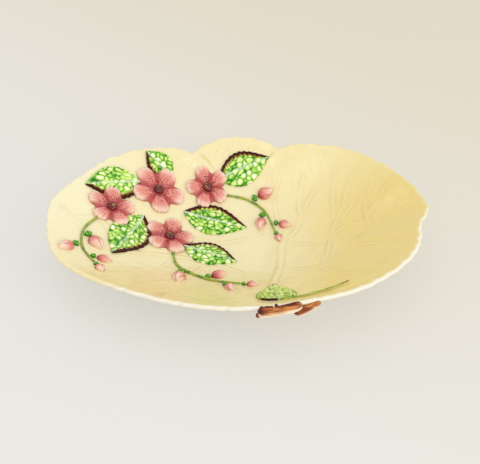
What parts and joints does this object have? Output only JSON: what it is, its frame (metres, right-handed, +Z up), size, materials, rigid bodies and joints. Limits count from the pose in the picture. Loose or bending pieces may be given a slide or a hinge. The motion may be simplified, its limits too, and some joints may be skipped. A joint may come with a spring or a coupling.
{
  "type": "leaf dish",
  "caption": "Shallow oval glazed earthenware serving dish shaped as a lobed leaf, with a foot ring, rim twigs and a sprigged spray of blossoms, leaves and buds inside.",
  "frame": {"origin": "on the table, under the middle of the dish's overall box", "axes": "+X along the dish to its right-hand point, +Y from the twigs to the back lobe, +Z up"},
  "size_m": [0.2708, 0.1936, 0.0465],
  "materials": {
    "cream_glaze": "glossy cream yellow glaze, thin and pale at the lip",
    "foot_clay": "matt unglazed foot, glazed flanks",
    "leaf_green": "glossy hand-painted green, brown at the edges",
    "stalk_green": "glossy hand-painted yellow green",
    "petal_pink": "glossy hand-painted coral pink",
    "eye_crimson": "glossy hand-painted crimson",
    "twig_brown": "glossy hand-painted brown, fading to cream below"
  },
  "bodies": {
    "root": {"dish_body": "cream_glaze", "foot_ring": "foot_clay", "twig_left": "twig_brown", "twig_right": "twig_brown", "front_leaf": "leaf_green", "front_stalk": "stalk_green", "blossom_1": "petal_pink", "blossom_1_centre": "eye_crimson", "blossom_2": "petal_pink", "blossom_2_centre": "eye_crimson", "blossom_3": "petal_pink", "blossom_3_centre": "eye_crimson", "blossom_4": "petal_pink", "blossom_4_centre": "eye_crimson", "leaf_1": "leaf_green", "leaf_2": "leaf_green", "leaf_3": "leaf_green", "leaf_4": "leaf_green", "leaf_5": "leaf_green", "leaf_6": "leaf_green", "bud_stem_1": "stalk_green", "calyx_1_1": "leaf_green", "bud_1_1": "petal_pink", "calyx_1_2": "leaf_green", "bud_1_2": "petal_pink", "calyx_1_3": "leaf_green", "bud_1_3": "petal_pink", "calyx_1_4": "leaf_green", "bud_1_4": "petal_pink", "bud_stem_2": "stalk_green", "calyx_2_1": "leaf_green", "bud_2_1": "petal_pink", "calyx_2_2": "leaf_green", "bud_2_2": "petal_pink", "calyx_2_3": "leaf_green", "bud_2_3": "petal_pink", "calyx_2_4": "leaf_green", "bud_2_4": "petal_pink", "bud_stem_3": "stalk_green", "calyx_3_1": "leaf_green", "bud_3_1": "petal_pink", "calyx_3_2": "leaf_green", "bud_3_2": "petal_pink", "calyx_3_3": "leaf_green", "bud_3_3": "petal_pink", "calyx_3_4": "leaf_green", "bud_3_4": "petal_pink"}
  },
  "joints": []
}
